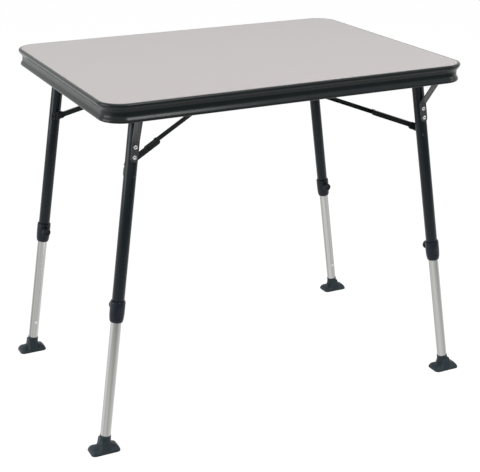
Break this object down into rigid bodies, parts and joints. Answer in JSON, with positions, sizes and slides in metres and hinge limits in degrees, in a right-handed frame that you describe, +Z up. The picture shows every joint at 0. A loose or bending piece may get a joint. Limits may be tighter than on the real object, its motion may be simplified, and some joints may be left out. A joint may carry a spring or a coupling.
{
  "type": "camping table",
  "caption": "Rectangular folding camping table with a moulded rim, telescopic splayed legs that fold under the top, and folding knee braces.",
  "frame": {"origin": "on the floor under the middle of the top", "axes": "+X along the long side to the right, +Y to the rear, +Z up"},
  "size_m": [0.898, 0.6, 0.7275],
  "materials": {
    "laminate": "satin laminate, warm light grey",
    "rim_plastic": "satin moulded plastic, anthracite",
    "zinc": "zinc plated",
    "anthracite": "powder coat, anthracite",
    "black_plastic": "matt",
    "strap_paint": "powder coat, dark grey",
    "rivet_steel": "bright",
    "collar_plastic": "satin, blue black",
    "knob_plastic": "satin, black",
    "bare_aluminium": "satin anodised",
    "foot_rubber": "satin, slate",
    "bracket_paint": "powder coat, black",
    "brace_paint": "powder coat, near black"
  },
  "bodies": {
    "top": {"table_board": "laminate", "edge_rim": "rim_plastic", "board_screws": "zinc", "hinge_pins": "zinc", "anchor_pins": "zinc", "hinge_bracket_front_left": "bracket_paint", "anchor_bracket_front_left": "bracket_paint", "hinge_bracket_front_right": "bracket_paint", "anchor_bracket_front_right": "bracket_paint", "hinge_bracket_rear_left": "bracket_paint", "anchor_bracket_rear_left": "bracket_paint", "hinge_bracket_rear_right": "bracket_paint", "anchor_bracket_rear_right": "bracket_paint"},
    "leg_front_left": {"leg_tube_front_left": "anthracite", "tube_plug_front_left": "black_plastic", "leg_strap_front_left": "strap_paint", "leg_rivets_front_left": "rivet_steel", "leg_collar_front_left": "collar_plastic", "brace_lug_front_left": "brace_paint"},
    "lower_leg_front_left": {"lower_tube_front_left": "bare_aluminium", "foot_front_left": "foot_rubber"},
    "knob_front_left": {"clamp_knob_front_left": "knob_plastic"},
    "brace_channel_front_left": {"brace_channel_front_left": "brace_paint"},
    "brace_strip_front_left": {"brace_strip_front_left": "brace_paint"},
    "leg_front_right": {"leg_tube_front_right": "anthracite", "tube_plug_front_right": "black_plastic", "leg_strap_front_right": "strap_paint", "leg_rivets_front_right": "rivet_steel", "leg_collar_front_right": "collar_plastic", "brace_lug_front_right": "brace_paint"},
    "lower_leg_front_right": {"lower_tube_front_right": "bare_aluminium", "foot_front_right": "foot_rubber"},
    "knob_front_right": {"clamp_knob_front_right": "knob_plastic"},
    "brace_channel_front_right": {"brace_channel_front_right": "brace_paint"},
    "brace_strip_front_right": {"brace_strip_front_right": "brace_paint"},
    "leg_rear_left": {"leg_tube_rear_left": "anthracite", "tube_plug_rear_left": "black_plastic", "leg_strap_rear_left": "strap_paint", "leg_rivets_rear_left": "rivet_steel", "leg_collar_rear_left": "collar_plastic", "brace_lug_rear_left": "brace_paint"},
    "lower_leg_rear_left": {"lower_tube_rear_left": "bare_aluminium", "foot_rear_left": "foot_rubber"},
    "knob_rear_left": {"clamp_knob_rear_left": "knob_plastic"},
    "brace_channel_rear_left": {"brace_channel_rear_left": "brace_paint"},
    "brace_strip_rear_left": {"brace_strip_rear_left": "brace_paint"},
    "leg_rear_right": {"leg_tube_rear_right": "anthracite", "tube_plug_rear_right": "black_plastic", "leg_strap_rear_right": "strap_paint", "leg_rivets_rear_right": "rivet_steel", "leg_collar_rear_right": "collar_plastic", "brace_lug_rear_right": "brace_paint"},
    "lower_leg_rear_right": {"lower_tube_rear_right": "bare_aluminium", "foot_rear_right": "foot_rubber"},
    "knob_rear_right": {"clamp_knob_rear_right": "knob_plastic"},
    "brace_channel_rear_right": {"brace_channel_rear_right": "brace_paint"},
    "brace_strip_rear_right": {"brace_strip_rear_right": "brace_paint"}
  },
  "joints": [
    {"name": "fold_front_left", "type": "hinge", "parent": "top", "child": "leg_front_left", "pos_m": [-0.3161, -0.2326, 0.69], "axis": [0.3746, -0.9272, 0], "range_deg": [0, 97.5]},
    {"name": "extend_front_left", "type": "slide", "parent": "leg_front_left", "child": "lower_leg_front_left", "axis": [0.146, 0.0326, 0.9887], "range_m": [0, 0.2]},
    {"name": "clamp_front_left", "type": "hinge", "parent": "leg_front_left", "child": "knob_front_left", "pos_m": [-0.37314, -0.22534, 0.30374], "axis": [-0.0048, 0.9995, -0.0323], "range_deg": [0, 180]},
    {"name": "channel_front_left", "type": "hinge", "parent": "leg_front_left", "child": "brace_channel_front_left", "pos_m": [-0.32732, -0.20497, 0.5817], "axis": [0.3746, -0.9272, 0], "range_deg": [0, 74.74]},
    {"name": "strip_front_left", "type": "hinge", "parent": "top", "child": "brace_strip_front_left", "pos_m": [-0.08131, -0.0983, 0.674], "axis": [0.3746, -0.9272, 0], "range_deg": [-23.69, 0]},
    {"name": "fold_front_right", "type": "hinge", "parent": "top", "child": "leg_front_right", "pos_m": [0.3161, -0.2326, 0.69], "axis": [0.3746, 0.9272, 0], "range_deg": [0, 92.3]},
    {"name": "extend_front_right", "type": "slide", "parent": "leg_front_right", "child": "lower_leg_front_right", "axis": [-0.146, 0.0326, 0.9887], "range_m": [0, 0.2]},
    {"name": "clamp_front_right", "type": "hinge", "parent": "leg_front_right", "child": "knob_front_right", "pos_m": [0.37314, -0.22534, 0.30374], "axis": [0.0048, 0.9995, -0.0323], "range_deg": [0, 180]},
    {"name": "channel_front_right", "type": "hinge", "parent": "leg_front_right", "child": "brace_channel_front_right", "pos_m": [0.32732, -0.20497, 0.5817], "axis": [0.3746, 0.9272, 0], "range_deg": [0, 72.94]},
    {"name": "strip_front_right", "type": "hinge", "parent": "top", "child": "brace_strip_front_right", "pos_m": [0.08131, -0.0983, 0.674], "axis": [0.3746, 0.9272, 0], "range_deg": [-23.08, 0]},
    {"name": "fold_rear_left", "type": "hinge", "parent": "top", "child": "leg_rear_left", "pos_m": [-0.3161, 0.2326, 0.69], "axis": [-0.3746, -0.9272, 0], "range_deg": [0, 92.3]},
    {"name": "extend_rear_left", "type": "slide", "parent": "leg_rear_left", "child": "lower_leg_rear_left", "axis": [0.146, -0.0326, 0.9887], "range_m": [0, 0.2]},
    {"name": "clamp_rear_left", "type": "hinge", "parent": "leg_rear_left", "child": "knob_rear_left", "pos_m": [-0.37314, 0.22534, 0.30374], "axis": [-0.0048, -0.9995, -0.0323], "range_deg": [0, 180]},
    {"name": "channel_rear_left", "type": "hinge", "parent": "leg_rear_left", "child": "brace_channel_rear_left", "pos_m": [-0.32732, 0.20497, 0.5817], "axis": [-0.3746, -0.9272, 0], "range_deg": [0, 72.94]},
    {"name": "strip_rear_left", "type": "hinge", "parent": "top", "child": "brace_strip_rear_left", "pos_m": [-0.08131, 0.0983, 0.674], "axis": [-0.3746, -0.9272, 0], "range_deg": [-23.08, 0]},
    {"name": "fold_rear_right", "type": "hinge", "parent": "top", "child": "leg_rear_right", "pos_m": [0.3161, 0.2326, 0.69], "axis": [-0.3746, 0.9272, 0], "range_deg": [0, 97.5]},
    {"name": "extend_rear_right", "type": "slide", "parent": "leg_rear_right", "child": "lower_leg_rear_right", "axis": [-0.146, -0.0326, 0.9887], "range_m": [0, 0.2]},
    {"name": "clamp_rear_right", "type": "hinge", "parent": "leg_rear_right", "child": "knob_rear_right", "pos_m": [0.37314, 0.22534, 0.30374], "axis": [0.0048, -0.9995, -0.0323], "range_deg": [0, 180]},
    {"name": "channel_rear_right", "type": "hinge", "parent": "leg_rear_right", "child": "brace_channel_rear_right", "pos_m": [0.32732, 0.20497, 0.5817], "axis": [-0.3746, 0.9272, 0], "range_deg": [0, 74.74]},
    {"name": "strip_rear_right", "type": "hinge", "parent": "top", "child": "brace_strip_rear_right", "pos_m": [0.08131, 0.0983, 0.674], "axis": [-0.3746, 0.9272, 0], "range_deg": [-23.69, 0]}
  ],
  "couplings": [
    {"joint": "channel_front_left", "follows": "fold_front_left", "ratio": 0.76648},
    {"joint": "strip_front_left", "follows": "fold_front_left", "ratio": -0.24282},
    {"joint": "channel_front_right", "follows": "fold_front_right", "ratio": 0.79014},
    {"joint": "strip_front_right", "follows": "fold_front_right", "ratio": -0.24997},
    {"joint": "channel_rear_left", "follows": "fold_rear_left", "ratio": 0.79014},
    {"joint": "strip_rear_left", "follows": "fold_rear_left", "ratio": -0.24997},
    {"joint": "channel_rear_right", "follows": "fold_rear_right", "ratio": 0.76648},
    {"joint": "strip_rear_right", "follows": "fold_rear_right", "ratio": -0.24282}
  ]
}
